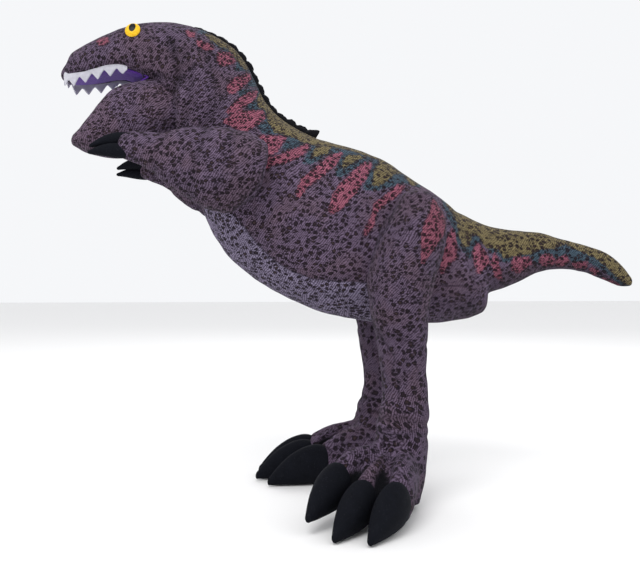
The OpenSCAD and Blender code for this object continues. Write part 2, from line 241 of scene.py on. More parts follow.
# ------------------------------------------------------------------ printed pattern
# Outlines of the printed patches and the seam lines, as the (y, z) that seen() gives, in mm. The points
# were picked by eye, and a separate helper script worked out their millimetres.
PINK = [
    [(-101, 352), (-77, 351), (-86, 338), (-100, 330), (-120, 321), (-121, 324), (-112, 333), (-106, 344)],
    [(-54, 344), (-59, 336), (-74, 328), (-89, 325), (-103, 317), (-106, 319), (-92, 329), (-74, 336)],
    [(-21, 336), (-28, 325), (-42, 313), (-56, 303), (-63, 293), (-65, 296), (-59, 310), (-43, 323),
     (-31, 333)],
    [(9, 326), (4, 313), (-6, 299), (-19, 284), (-30, 276), (-32, 279), (-28, 295), (-19, 307), (-6, 319),
     (4, 327)],
    [(42, 303), (35, 295), (20, 285), (14, 278), (11, 264), (4, 255), (3, 258), (9, 269), (13, 278),
     (14, 286),
     (26, 295), (37, 304)],
    [(-137, 366), (-122, 376), (-100, 376), (-98, 370), (-107, 363), (-117, 357), (-130, 363)],
    [(-173, 454), (-166, 452), (-167, 450), (-171, 450)],
    [(-163, 445), (-151, 442), (-148, 439), (-155, 439), (-162, 442)],
    [(-142, 433), (-132, 434), (-127, 426), (-135, 423), (-140, 423), (-143, 428)],
    [(-132, 395), (-133, 401), (-127, 408), (-113, 413), (-112, 409), (-122, 400), (-127, 396)],
    [(-105, 396), (-107, 391), (-117, 383), (-130, 376), (-134, 376), (-122, 388), (-111, 395)],
    [(93, 260), (96, 248), (96, 233), (87, 225), (81, 217), (82, 231), (85, 244)],
    [(119, 246), (127, 235), (129, 227), (119, 217), (116, 229), (115, 238)],
    [(136, 235), (139, 227), (143, 211), (138, 213), (134, 225)],
    [(156, 231), (171, 232), (173, 227), (161, 218), (155, 221)],
    [(185, 233), (193, 236), (197, 231), (197, 225), (187, 225), (183, 229)],
    [(201, 229), (211, 234), (213, 229), (209, 224), (201, 225)],
    [(219, 226), (233, 227), (231, 223), (221, 222)],
    [(237, 221), (245, 218), (240, 215)],
    [(250, 211), (264, 205), (268, 202), (252, 207)],
    [(-260, 443), (-257, 445), (-251, 446), (-250, 443), (-254, 441), (-259, 441)],
]
THIGH_PINK = [
    [(73, 290), (79, 281), (85, 269), (84, 258), (75, 246), (62, 227), (62, 250), (64, 265), (71, 277)],
]
TEAL = [
    [(-126, 398), (-113, 377), (-100, 355), (-74, 353), (-82, 339), (-65, 341), (-50, 344), (-60, 326),
     (-50, 325),
     (-37, 333), (-20, 337), (-28, 314), (-20, 312), (-6, 322), (11, 327), (1, 300), (15, 299), (31, 304),
     (42, 307), (59, 303), (75, 325), (12, 370), (-80, 399)],
    [(75, 312), (87, 273), (95, 260), (97, 248), (105, 237), (111, 230), (115, 244), (123, 248), (133, 237),
     (139, 237), (145, 227), (155, 229), (173, 231), (181, 227), (187, 236), (197, 234), (201, 229), (213,
                                                                                                      235),
     (217, 227), (233, 228), (243, 223), (256, 215), (264, 207), (272, 198), (293, 198), (292, 245), (155,
                                                                                                      293),
     (95, 312)],
    [(-165, 454), (-155, 451), (-147, 443), (-140, 438), (-130, 432), (-125, 424), (-127, 416), (-113, 416),
     (-111, 409), (-115, 401), (-103, 401), (-110, 389), (-106, 381), (-98, 376), (-97, 369), (-101, 361),
     (-87, 356), (-78, 351), (-33, 352), (-97, 439), (-147, 463)],
]
OLIVE = [
    [(-92, 367), (-86, 356), (-68, 352), (-59, 346), (-44, 344), (-34, 354), (-65, 364), (-86, 378)],
    [(-44, 345), (-30, 343), (-34, 336), (-45, 333), (-52, 330), (-50, 336)],
    [(-14, 335), (6, 334), (-5, 329), (-14, 324), (-19, 319), (-20, 324), (-18, 331)],
    [(-44, 345), (-30, 343), (-10, 339), (6, 334), (18, 330), (21, 345), (-10, 352), (-40, 358)],
    [(18, 328), (32, 327), (42, 317), (34, 317), (26, 309), (17, 304), (11, 304), (12, 315), (14, 323)],
    [(18, 328), (32, 327), (43, 317), (51, 304), (62, 309), (43, 336), (18, 345)],
    [(83, 302), (87, 285), (97, 269), (99, 256), (105, 242), (111, 244), (113, 256), (119, 254), (127, 242),
     (141, 240), (145, 231), (155, 233), (175, 236), (185, 241), (199, 241), (211, 247), (221, 241), (241,
                                                                                                      233),
     (256, 221), (266, 211), (276, 203), (293, 201), (292, 245), (155, 293), (105, 312)],
    [(-157, 452), (-151, 447), (-140, 440), (-135, 439), (-128, 431), (-122, 424), (-117, 418), (-112, 418),
     (-122, 439), (-147, 453)],
    [(-103, 394), (-106, 386), (-103, 380), (-97, 378), (-94, 366), (-87, 356), (-69, 351), (-59, 349),
     (-72, 364), (-91, 381), (-101, 396)],
]
SEAM_BELLY = [(-156, 302), (-148, 295), (-121, 265), (-107, 247), (-89, 229), (-74, 219), (-50, 210),
              (-3, 207),
              (30, 205), (70, 204), (110, 203)]
SEAM_LEG = [(39, 300), (26, 266), (9, 235), (1, 217), (4, 186), (11, 164), (33, 131), (31, 117), (38, 102),
            (35, 72)]


# Values of the stored distances where a patch, the belly panel or a seam is far away, mm
OUTSIDE, NO_BELLY, NO_SEAM = -30.0, -20.0, 60.0


def seen(v):
    """(y, z) where the line from the camera's rest place meets x = 0; the far side is mirrored."""
    p = v.copy()
    p[:, 0] = np.abs(p[:, 0])
    k = EYE_POINT[0] / (EYE_POINT[0] - p[:, 0])
    return EYE_POINT[1:] + (p[:, 1:] - EYE_POINT[1:]) * k[:, None]


def line_distance(p, pts, closed):
    best = np.full(len(p), 1e9)
    pts = np.array(pts, float)
    n = len(pts) if closed else len(pts) - 1
    for i in range(n):
        a, b = pts[i], pts[(i + 1) % len(pts)]
        d = b - a
        t = np.clip(((p - a) @ d) / (d @ d), 0, 1)
        best = np.minimum(best, np.linalg.norm(p - a - t[:, None] * d, axis=1))
    return best


def inside(p, pts):
    pts = np.array(pts, float)
    r = np.zeros(len(p), bool)
    for i in range(len(pts)):
        a, b = pts[i], pts[(i + 1) % len(pts)]
        if a[1] == b[1]:
            continue
        hit = ((a[1] > p[:, 1]) != (b[1] > p[:, 1])) & (
            p[:, 0] < (b[0] - a[0]) * (p[:, 1] - a[1]) / (b[1] - a[1]) + a[0])
        r ^= hit
    return r


def field(p, polys):
    """Signed distance to a set of outlines, positive inside."""
    out = np.full(len(p), OUTSIDE)
    for q in polys:
        d = line_distance(p, q, True)
        out = np.maximum(out, np.where(inside(p, q), d, -d))
    return out


# ------------------------------------------------------------------ materials
def new_material(name):
    m = bpy.data.materials.new(name)
    m.use_nodes = True
    t = m.node_tree
    return m, t, t.nodes["Principled BSDF"]


class Nodes:
    """Small helper that adds and links shader nodes."""

    def __init__(self, tree):
        self.t = tree

    def add(self, kind, **values):
        n = self.t.nodes.new(kind)
        for k, v in values.items():
            if k.startswith("_"):
                setattr(n, k[1:], v)
            else:
                numbered = k[0] == "i" and k[1:].isdigit()
                s = n.inputs[int(k[1:]) if numbered else k.replace("__", " ")]
                if isinstance(v, bpy.types.NodeSocket):
                    self.t.links.new(v, s)
                else:
                    s.default_value = v
        return n

    def math(self, op, a, b=0.0, c=0.0, clamp=False):
        n = self.add("ShaderNodeMath", _operation=op, _use_clamp=clamp, i0=a, i1=b, i2=c)
        return n.outputs[0]

    def vec(self, op, a, b=(0, 0, 0)):
        if op == "SCALE_BY":
            n = self.add("ShaderNodeVectorMath", _operation="SCALE", i0=a)
            self.t.links.new(b, n.inputs["Scale"])
            return n.outputs[0]
        n = self.add("ShaderNodeVectorMath", _operation=op, i0=a, i1=b)
        return n.outputs[0]

    def attr(self, name, what="Fac"):
        return self.add("ShaderNodeAttribute", _attribute_name=name).outputs[what]

    def step(self, v, lo, hi):
        n = self.add("ShaderNodeMapRange", _interpolation_type="SMOOTHSTEP", i0=v, i1=lo, i2=hi, i3=0.0,
                     i4=1.0)
        return n.outputs[0]

    def mix(self, f, a, b):
        n = self.add("ShaderNodeMix", _data_type="RGBA")
        for s, v in ((n.inputs[0], f), (n.inputs[6], a), (n.inputs[7], b)):
            if isinstance(v, bpy.types.NodeSocket):
                self.t.links.new(v, s)
            else:
                s.default_value = (*v, 1) if isinstance(v, tuple) and len(v) == 3 else v
        return n.outputs[2]

    def noise(self, v, scale, detail=2.0, rough=0.5, out=0):
        n = self.add("ShaderNodeTexNoise", i0=v)
        n.inputs["Scale"].default_value = scale
        n.inputs["Detail"].default_value = detail
        n.inputs["Roughness"].default_value = rough
        return n.outputs[out]

    def voronoi(self, v, scale, random_=1.0, feature="F1"):
        n = self.add("ShaderNodeTexVoronoi", _feature=feature)
        self.t.links.new(v, n.inputs["Vector"])
        n.inputs["Scale"].default_value = scale
        n.inputs["Randomness"].default_value = random_
        return n.outputs["Distance"]

    def wave(self, v, way, scale, distort, detail):
        n = self.add("ShaderNodeTexWave", _wave_type="BANDS", _bands_direction=way, _wave_profile="SIN")
        self.t.links.new(v, n.inputs["Vector"])
        n.inputs["Scale"].default_value = scale
        n.inputs["Distortion"].default_value = distort
        n.inputs["Detail Scale"].default_value = detail
        return n.outputs[1]

    def bump(self, h, strength, distance, normal=None):
        n = self.add("ShaderNodeBump")
        n.inputs["Strength"].default_value = strength
        n.inputs["Distance"].default_value = distance
        self.t.links.new(h, n.inputs["Height"])
        if normal is not None:
            self.t.links.new(normal, n.inputs["Normal"])
        return n.outputs[0]


def scaled(N, v, s, turn=(0, 0, 0)):
    n = N.add("ShaderNodeMapping")
    N.t.links.new(v, n.inputs["Vector"])
    n.inputs["Scale"].default_value = s
    n.inputs["Rotation"].default_value = turn
    return n.outputs[0]


def knit_material(name):
    m, t, b = new_material(name)
    N = Nodes(t)
    rest = N.attr("rest", "Vector")
    wide = N.vec("MULTIPLY", N.noise(rest, 0.06, 2, 0.5, 1), (7, 7, 7))
    fine = N.vec("MULTIPLY", N.noise(rest, 0.38, 2, 0.6, 1), (3.4, 3.4, 3.4))
    warp = N.vec("ADD", N.vec("ADD", rest, wide), fine)
    soft = N.vec("ADD", rest, wide)
    # knit: slanting wales crossed by finer rows, with bright loose threads
    wale = N.wave(scaled(N, soft, (1, 1, 1), (math.radians(40), 0, math.radians(12))), "Y", 0.17, 2.6, 0.7)
    rows_ = N.wave(scaled(N, soft, (1, 1, 1), (math.radians(34), math.radians(10), 0)), "Z", 0.21, 2.6, 0.7)
    weave = N.math("ADD", N.math("MULTIPLY", wale, 0.72), N.math("MULTIPLY", rows_, 0.28))
    streak = N.noise(scaled(N, rest, (0.9, 0.24, 0.9), (math.radians(38), 0, 0)), 1.0, 3, 0.7)
    patch = N.noise(rest, 0.03, 3, 0.6)
    fuzz = N.noise(rest, 1.5, 3, 0.7)
    lift = N.math("ADD", N.math("MULTIPLY", weave, 0.42), N.math("MULTIPLY", streak, 0.90))
    thread = N.step(lift, 0.46, 0.86)
    ground = N.mix(N.step(patch, 0.42, 0.64), (0.036, 0.023, 0.038), (0.043, 0.027, 0.039))
    bright = N.mix(N.step(patch, 0.42, 0.64), (0.150, 0.108, 0.172), (0.146, 0.098, 0.144))
    jit = N.math("MULTIPLY", N.math("SUBTRACT", N.noise(rest, 0.42, 3, 0.7), 0.5), 7.0)
    belly = N.step(N.attr("belly"), -0.8, 0.8)
    ground = N.mix(belly, ground, (0.062, 0.048, 0.080))
    bright = N.mix(belly, bright, (0.265, 0.225, 0.330))
    for layer, dark, light in (("teal", (0.012, 0.022, 0.031), (0.058, 0.098, 0.130)),
                               ("olive", (0.050, 0.036, 0.017), (0.215, 0.172, 0.080)),
                               ("pink", (0.092, 0.023, 0.041), (0.340, 0.108, 0.155))):
        edge = N.math("ADD", N.attr(layer), jit)
        if layer == "pink":
            edge = N.math("ADD", edge, 1.8)
        f = N.math("MULTIPLY", N.step(edge, -0.8, 0.8), 0.94)
        ground = N.mix(f, ground, dark)
        bright = N.mix(f, bright, light)
    c = N.mix(thread, ground, bright)
    # printed outline where the coloured patches meet the ground
    for layer in ("pink", "olive"):
        edge = N.math("ADD", N.attr(layer), jit)
        edge = N.math("ABSOLUTE", N.math("ADD", edge, 1.8 if layer == "pink" else 0.0))
        c = N.mix(N.math("MULTIPLY", N.step(edge, 1.1, 0.3), 0.45), c, (0.020, 0.018, 0.026))
    # spots: brown middles with broken dark rims, and small dark dashes between them
    big = N.attr("spot_size")
    cells = N.vec("SCALE_BY", warp, big)
    v1 = N.voronoi(cells, 0.180, 0.95)
    wall = N.voronoi(cells, 0.180, 0.95, "DISTANCE_TO_EDGE")
    rag = N.math("MULTIPLY", N.math("SUBTRACT", N.noise(rest, 0.55, 2, 0.7), 0.5), 0.34)
    d1 = N.math("ADD", v1, rag)
    free = N.step(N.math("ADD", wall, N.math("MULTIPLY", rag, 0.3)), 0.03, 0.10)
    rim = N.math("MULTIPLY", N.math("MULTIPLY", N.step(d1, 0.47, 0.40), free), 0.92)
    tan = N.step(N.noise(rest, 0.09, 2, 0.6), 0.42, 0.62)
    core = N.math("MULTIPLY", N.step(d1, 0.27, 0.17), N.math("MULTIPLY_ADD", tan, 0.60, 0.12))
    dash = N.voronoi(N.vec("ADD", scaled(N, warp, (1.0, 0.62, 1.25), (math.radians(35), 0, 0)), (31, 17, 5)),
                     0.27, 1.0)
    small = N.math("MULTIPLY", N.step(N.math("ADD", dash, N.math("MULTIPLY", rag, 0.6)), 0.36, 0.26), 0.66)
    c = N.mix(small, c, (0.011, 0.007, 0.012))
    c = N.mix(rim, c, (0.0075, 0.0045, 0.0075))
    c = N.mix(core, c, (0.052, 0.032, 0.030))
    line = N.step(N.attr("groove"), 1.5, 0.4)
    c = N.mix(N.math("MULTIPLY", line, 0.6), c, (0.014, 0.010, 0.017))
    c = N.mix(N.attr("web"), c, (0.0035, 0.0038, 0.0055))
    # painted shade: the base colour is scaled by the shade attribute, darker under the body, in creases and
    # on the limbs
    t.links.new(N.vec("SCALE_BY", c, N.attr("shade")), b.inputs["Base Color"])
    b.inputs["Roughness"].default_value = 0.9
    b.inputs["Specular IOR Level"].default_value = 0.12
    b.inputs["Sheen Weight"].default_value = 0.04
    b.inputs["Sheen Roughness"].default_value = 0.5
    b.inputs["Sheen Tint"].default_value = (0.55, 0.52, 0.70, 1)
    h = N.math("ADD", N.math("MULTIPLY", thread, 0.8), N.math("MULTIPLY", fuzz, 0.45))
    h = N.math("SUBTRACT", h, N.math("MULTIPLY", line, 1.2))
    t.links.new(N.bump(h, 0.5, 0.0009), b.inputs["Normal"])
    return m


def velvet_material(name, base=(0.0030, 0.0034, 0.0052), sheen=0.02):
    m, t, b = new_material(name)
    N = Nodes(t)
    rest = N.attr("rest", "Vector")
    n1 = N.noise(rest, 0.12, 3, 0.6)
    n2 = N.noise(rest, 1.9, 2, 0.7)
    lint = N.step(N.noise(rest, 1.1, 0, 0.5), 0.74, 0.80)
    c = N.mix(n1, base, tuple(x * 2.1 for x in base))
    c = N.mix(N.math("MULTIPLY", lint, 0.25), c, (0.05, 0.05, 0.06))
    t.links.new(c, b.inputs["Base Color"])
    b.inputs["Roughness"].default_value = 0.85
    b.inputs["Specular IOR Level"].default_value = 0.07
    b.inputs["Sheen Weight"].default_value = sheen
    b.inputs["Sheen Roughness"].default_value = 0.35
    b.inputs["Sheen Tint"].default_value = (0.35, 0.38, 0.55, 1)
    t.links.new(N.bump(N.math("ADD", n2, N.math("MULTIPLY", n1, 0.8)), 0.4, 0.0006), b.inputs["Normal"])
    return m


def felt_material(name, base, dark, glow=0.0):
    m, t, b = new_material(name)
    N = Nodes(t)
    rest = N.attr("rest", "Vector")
    n1 = N.noise(rest, 0.25, 3, 0.6)
    n2 = N.noise(rest, 2.2, 3, 0.75)
    fibre = N.noise(scaled(N, rest, (2.5, 0.5, 2.5), (0.6, 0.4, 0.2)), 1.0, 2, 0.6)
    c = N.mix(N.step(N.math("ADD", N.math("MULTIPLY", n1, 0.5), N.math("MULTIPLY", n2, 0.5)), 0.3, 0.7),
              dark, base)
    t.links.new(c, b.inputs["Base Color"])
    b.inputs["Roughness"].default_value = 0.95
    b.inputs["Subsurface Weight"].default_value = glow
    b.inputs["Subsurface Radius"].default_value = (1, 1, 1)
    b.inputs["Subsurface Scale"].default_value = 0.002
    b.inputs["Specular IOR Level"].default_value = 0.2
    b.inputs["Sheen Weight"].default_value = 0.15
    t.links.new(N.bump(N.math("ADD", n2, fibre), 0.5, 0.0005), b.inputs["Normal"])
    return m


def eye_material(name):
    m, t, b = new_material(name)
    N = Nodes(t)
    iris = N.attr("iris")
    rim = N.attr("rim")
    ang = N.noise(N.attr("rest", "Vector"), 0.5, 3, 0.6)
    c = N.mix(N.step(ang, 0.35, 0.65), (0.66, 0.36, 0.010), (0.78, 0.50, 0.025))
    c = N.mix(N.step(iris, 1.12, 0.96), c, (0.004, 0.004, 0.004))
    # painted shade: a dark ring round the edge of the eye, where it sinks into the head
    c = N.mix(N.step(rim, 0.90, 0.98), c, (0.05, 0.03, 0.01))
    t.links.new(c, b.inputs["Base Color"])
    b.inputs["Roughness"].default_value = 0.35
    b.inputs["Specular IOR Level"].default_value = 0.1
    b.inputs["Coat Weight"].default_value = 0.06
    b.inputs["Coat Roughness"].default_value = 0.05
    return m


MATS = {}


def make_materials():
    MATS["knit"] = knit_material("knit_printed")
    MATS["velvet"] = velvet_material("velvet_black")
    MATS["plush"] = velvet_material("plush_black", (0.0036, 0.0036, 0.0048), 0.03)
    MATS["felt_white"] = felt_material("felt_white", (0.50, 0.50, 0.55), (0.38, 0.37, 0.42), 0.7)
    MATS["felt_violet"] = felt_material("felt_violet", (0.115, 0.030, 0.330), (0.065, 0.018, 0.200))
    MATS["eye"] = eye_material("eye_plastic")


# ------------------------------------------------------------------ pieces
def set_attr(me, name, data):
    data = np.asarray(data, float)
    kind = "FLOAT_VECTOR" if data.ndim == 2 else "FLOAT"
    a = me.attributes.new(name, kind, "POINT")
    a.data.foreach_set("vector" if data.ndim == 2 else "value", data.ravel().astype(np.float32))


def piece(name, geo, mat, attrs=None, sub=0, rest=None):
    """A shaded object from toy-mm geometry, with its rest place stored for the materials."""
    v, f = geo
    me = mesh_from(name, (world(v), f))
    for p in me.polygons:
        p.use_smooth = True
    set_attr(me, "rest", v if rest is None else rest)
    for k, a in (attrs or {}).items():
        set_attr(me, k, a)
    ob = bpy.data.objects.new(name, me)
    bpy.context.scene.collection.objects.link(ob)
    me.materials.append(MATS[mat])
    if sub:
        s = ob.modifiers.new("subdivision", "SUBSURF")
        s.levels = s.render_levels = sub
    return ob


def part_of(geo, keep, attrs):
    """The faces of a mesh whose every vertex passes keep, with the attributes cut to match."""
    v, f = geo
    used = [x for x in f if keep[list(x)].all()]
    ids = np.unique(np.concatenate([np.array(x) for x in used]))
    at = {int(o): i for i, o in enumerate(ids)}
    return (v[ids], [tuple(at[i] for i in x) for x in used]), {k: a[ids] for k, a in attrs.items()}


def puckers(v, dist, amount=1.4, width=3.0):
    """How far a seam pulls the cloth in."""
    return amount * np.exp(-(dist / width) ** 2)


def ripple(v, scale, amount, seed=0.0):
    """Soft lumps from uneven stuffing."""
    return np.array([noise.fractal(Vector((p[0] * scale + seed, p[1] * scale, p[2] * scale)), 1.0, 2.0, 3)
                     for p in v]) * amount


TRUNK = [row(-289, 419, -289, 404, 14), row(-284, 430, -284, 399.5, 22, 1, 0.8),
         row(-272, 437, -273, 401, 29, 1, 0.6),
         row(-257, 444, -259, 404, 33, 1, 0.55), row(-243, 450, -247, 407, 36, 1, 0.55),
         row(-228, 455, -234, 407.5, 39.5, 1, 0.55), row(-209, 459, -222, 401.5, 42, 1, 0.6),
         row(-186, 460, -207, 397, 44.5, 1, 0.58), row(-162, 455.5, -197, 391, 47, 1, 0.55),
         row(-143, 446.5, -191, 378, 48, 1, 0.52), row(-126, 435.5, -187, 362, 48.5, 1, 0.56),
         row(-114.5, 421.5, -183, 344, 49, 1, 0.66), row(-106.5, 406, -178, 324, 50, 1, 0.82),
         row(-97, 386.5, -170, 302, 51), row(-83, 370.5, -158, 280, 54), row(-61, 358, -148, 254, 57.5),
         row(-35, 348, -126, 226, 60), row(-9, 341.5, -92, 201, 61.5), row(17, 332, -52, 181, 61.5),
         row(43, 316, -10, 170, 60), row(65, 302, 32, 166, 57.5), row(80, 291, 74, 166, 53),
         row(89, 284, 104, 170, 46), row(95, 276, 123, 176, 36)]
TAIL = [row(66, 294, 98, 196, 40), row(96, 278, 120, 194, 37), row(121, 266.5, 140, 199, 32.5),
        row(150, 261.5, 160, 207, 28), row(178, 258.5, 180, 217, 23.5), row(203, 252.5, 203, 219, 18.5),
        row(222, 248, 221, 218.5, 16), row(240, 243, 237, 215, 14), row(258, 234, 253, 208, 12),
        row(272, 223.5, 267, 202, 9.5), row(281, 214, 277, 201, 6)]
JAW = [row(-182, 400, -177, 350, 37, 0.9), row(-201, 405, -196, 336, 43, 0.7),
       row(-221, 400, -213, 330, 44.5, 0.5),
       row(-240, 393.5, -235, 329, 41.5, 0.48), row(-249, 385.5, -247, 329.5, 38, 0.5),
       row(-261, 372, -261, 331, 32.5, 0.55), row(-271, 360, -272, 334, 26, 0.6), row(-278, 352, -281, 339,
                                                                                      18, 0.7)]
ARM = [row(-100, 337, -112, 282, 25, xc=70), row(-115, 345, -133, 270, 30, xc=72),
       row(-142, 348, -158, 277, 29, xc=75),
       row(-170, 345, -182, 291, 22, xc=79), row(-193, 341, -202, 308, 16, xc=82), row(-211, 342, -218, 315,
                                                                                       14, xc=82),
       row(-222, 340, -226, 318, 11, xc=82)]
LEG = [row(24, 283, 62, 283, 24, xc=60), row(11, 262, 71, 264, 36, xc=62), row(3, 238, 69, 238, 38, xc=63),
       row(-3, 210, 60, 210, 36, xc=64), row(-2, 182, 54, 182, 30, xc=66), row(5, 154, 53, 154, 25, xc=66),
       row(9, 128, 52, 128, 22, xc=64), row(11, 106, 53, 106, 21, xc=62), row(9, 90, 55, 90, 22, xc=62),
       row(3, 72, 55, 72, 24, xc=61), row(-1, 54, 52, 54, 26, xc=60), row(-5, 38, 48, 38, 27, xc=59),
       row(-6, 20, 44, 20, 27, xc=58), row(-4, 6, 40, 6, 24, xc=58)]
CLAW = [row(4, 36, 4, 7, 9), row(0, 39.5, 0, 4, 12), row(-10, 41, -9, 1, 13.2, xc=0),
        row(-24, 37, -23, 0.4, 12.8, xc=-0.3),
        row(-38, 28.5, -37, 0.4, 9.8, xc=-1), row(-49, 18, -48, 0.4, 6.2, xc=-1.8), row(-56, 9.5, -56, 1,
                                                                                        3.2, xc=-2.4)]
# Where each claw is sewn on, and where its toe leaves the foot: sideways and forward, inner toe first
CLAW_AT = [(-36.5, -69.8), (-8, -80), (20.5, -75)]
TOE_ROOT = [(-10, -6), (-4, -10), (4, -8)]
INNER_LIFT = 10
HAND_CLAW = [row(4, 5, 4, -5, 5), row(-4, 6.6, -3, -6.6, 6.6), row(-14, 6.4, -13, -6.4, 6.6),
             row(-24, 3.6, -23, -5.2, 5),
             row(-32, -0.5, -31, -4.5, 2.8)]
ANKLE = np.array([62, 32, 84.7])
FOOT_TURN = {"left": 60, "right": 3}


def mirror_side(geo, side):
    return geo if side == "left" else moved(geo, mirror=True)


def foot_turn(v, side):
    """Turns points of a foot, drawn pointing straight ahead under the left leg, to its rest direction."""
    a = math.radians(FOOT_TURN["left"] if side == "left" else -FOOT_TURN["right"])
    w = np.clip((106 - v[:, 2]) / 46, 0, 1)
    w = w * w * (3 - 2 * w)
    c, s = np.cos(a * w), np.sin(a * w)
    x, y = v[:, 0] - ANKLE[0], v[:, 1] - ANKLE[1]
    return np.stack([ANKLE[0] + x * c - y * s, ANKLE[1] + x * s + y * c, v[:, 2]], axis=1)


def toe_loft(k, lift):
    """One toe, from the middle of the foot to its claw's seam."""
    root, end = np.array(TOE_ROOT[k]), np.array(CLAW_AT[k], float)
    way = end - root
    n = float(np.linalg.norm(way))
    rows_ = [row(6, 58, 6, 8, 15), row(-0.25 * n, 58 + lift * 0.2, -0.25 * n, 4, 15),
             row(-0.55 * n, 55 + lift * 0.6, -0.55 * n, 2 + lift * 0.5, 14),
             row(-0.80 * n, 48.5 + lift, -0.80 * n, 1.5 + lift, 13.4), row(-n, 41 + lift, -n, 3.5 + lift,
                                                                           12.6)]
    v, f = loft(rows_, 8, 3, 28)
    a = math.atan2(way[0], -way[1])
    x = v[:, 0] * math.cos(a) - v[:, 1] * math.sin(a)
    y = v[:, 0] * math.sin(a) + v[:, 1] * math.cos(a)
    return np.stack([ANKLE[0] + root[0] + x, ANKLE[1] + root[1] + y, v[:, 2]], axis=1), f


# Creases of the neck and mouth corner: (y, z) path as seen from the side, depth and width
FOLDS = [([(-188, 446), (-186, 431), (-182, 418), (-184, 404), (-190, 391), (-194, 379), (-194, 362)], 4.0,
          5),
         ([(-205, 409), (-195, 409), (-184, 408), (-176, 405)], 2.0, 3),
         ([(-174, 434), (-170, 407), (-170, 387), (-175, 367), (-182, 352)], 2.2, 4.5),
         ([(-156, 438), (-146, 414), (-146, 389), (-155, 367), (-160, 355)], 2.2, 4.5),
         ([(-136, 398), (-141, 380), (-150, 362)], 1.2, 4)]


def build_trunk():
    geo = union("trunk", [loft(TRUNK, 8, 12), loft(TAIL, 4, 5, 32)])
    v, f = geo
    n = normals_of(geo)
    p = seen(v)
    seam = line_distance(p, SEAM_BELLY, False)
    groove = np.minimum(seam, NO_SEAM)
    fold = sum(depth * np.exp(-(line_distance(p, line, False) / wide) ** 2) for line, depth, wide in FOLDS)
    v = v - n * (puckers(v, seam) + fold)[:, None] + n * ripple(v, 0.022, 1.6)[:, None]
    v[:, 2] += (recess(v, TRUNK[:8], 2) * soft_step(-n[:, 2], 0.2, 0.6)
                * soft_step(-v[:, 1], 212, 219) * (v[:, 2] < 420))
    belly_line = np.array(SEAM_BELLY, float)
    at = np.interp(p[:, 0], belly_line[:, 0], belly_line[:, 1])
    belly = np.clip(np.minimum(at - p[:, 1], 50 - p[:, 0]), NO_BELLY, -NO_BELLY)
    belly = np.where((p[:, 0] < -156) | (p[:, 0] > 100), NO_BELLY, belly)
    # painted shade in the shade attribute: darker underside, rump and head top, and darker again in the neck
    # creases
    attrs = {"pink": field(p, PINK), "teal": field(p, TEAL), "olive": field(p, OLIVE), "belly": belly,
             "groove": groove, "spot_size": spot_sizes(v), "web": np.zeros(len(v)),
             "shade": painted_shade(v, n) * (1 - 0.13 * fold)}
    attrs["rest_"] = v.copy()
    for name, keep, a, b, start, end in (
            ("trunk_front", v[:, 1] < 22, "torso", "head", (0, -108.6, 313.7), (0, -152.4, 354.7)),
            ("trunk_rear", (v[:, 1] > 16) & (v[:, 1] < 168), "torso", "tail_base", (0, 100.2, 221.6),
             (0, 145.6, 237.3)),
            ("tail_end", v[:, 1] > 162, "tail_base", "tail_tip", (0, 190, 236), (0, 226, 234))):
        g, at_ = part_of((v, f), keep, attrs)
        rest_ = at_.pop("rest_")
        ob = piece(name, g, "knit", at_, 1, rest_)
        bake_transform(ob)
        if name == "trunk_front":
            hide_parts("torso_left_panel", "torso_right_panel", "belly_panel", "torso_stuffing",
                        "head_left_panel", "head_right_panel", "head_top_gusset", "throat_panel",
                        "head_stuffing")
        elif name == "trunk_rear":
            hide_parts("tail_base_left_panel", "tail_base_right_panel", "tail_base_stuffing")
        else:
            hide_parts("tail_tip_left_panel", "tail_tip_right_panel", "tail_tip_stuffing")


def spot_sizes(v):
    """Scale of the print: small spots on the head, larger ones low on the legs."""
    return np.interp(v[:, 2], [20, 150, 230, 340, 400], [0.78, 0.84, 0.98, 1.06, 1.20])


def painted_shade(v, n):
    """Painted shade on the underside, the rump and the top of the head, in chosen amounts."""
    low = soft_step(-n[:, 2], 0.0, 0.9) * soft_step(v[:, 2], 120, 170)
    rear = soft_step(v[:, 1], 60, 110)
    return 1 - (0.16 + 0.34 * rear) * low - 0.12 * soft_step(v[:, 2], 380, 410)


def plain_attrs(v, n):
    k = len(v)
    return {"pink": np.full(k, OUTSIDE), "teal": np.full(k, OUTSIDE), "olive": np.full(k, OUTSIDE),
            "belly": np.full(k, NO_BELLY), "groove": np.full(k, NO_SEAM), "spot_size": spot_sizes(v),
            "web": np.zeros(k), "shade": painted_shade(v, n)}


def soft_step(v, lo, hi):
    t = np.clip((v - lo) / (hi - lo), 0, 1)
    return t * t * (3 - 2 * t)


def recess(v, rows_, col):
    """Depth of the hollow inside the lips, so that they stand proud of the lining."""
    ys = [r[col] for r in rows_]
    ws = [r[4] for r in rows_]
    order = np.argsort(ys)
    rel = np.abs(v[:, 0]) / np.interp(v[:, 1], np.array(ys)[order], np.array(ws)[order])
    return 3.0 * soft_step(-rel, -0.79, -0.66) * (v[:, 1] > min(ys) + 4)


def build_jaw():
    geo = union("jaw", [loft(JAW, 6, 5, 36)], smooth=3)
    v, f = geo
    n = normals_of(geo)
    v = v + n * ripple(v, 0.03, 1.0, 3.0)[:, None]
    v = v - n * (recess(v, JAW, 0) * soft_step(n[:, 2], 0.1, 0.45) * soft_step(-v[:, 1], 205, 212))[:, None]
    ob = piece("jaw_skin_soft", (v, f), "knit", plain_attrs(v, n), 1)
    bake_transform(ob)
    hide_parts("jaw_skin", "jaw_stuffing")


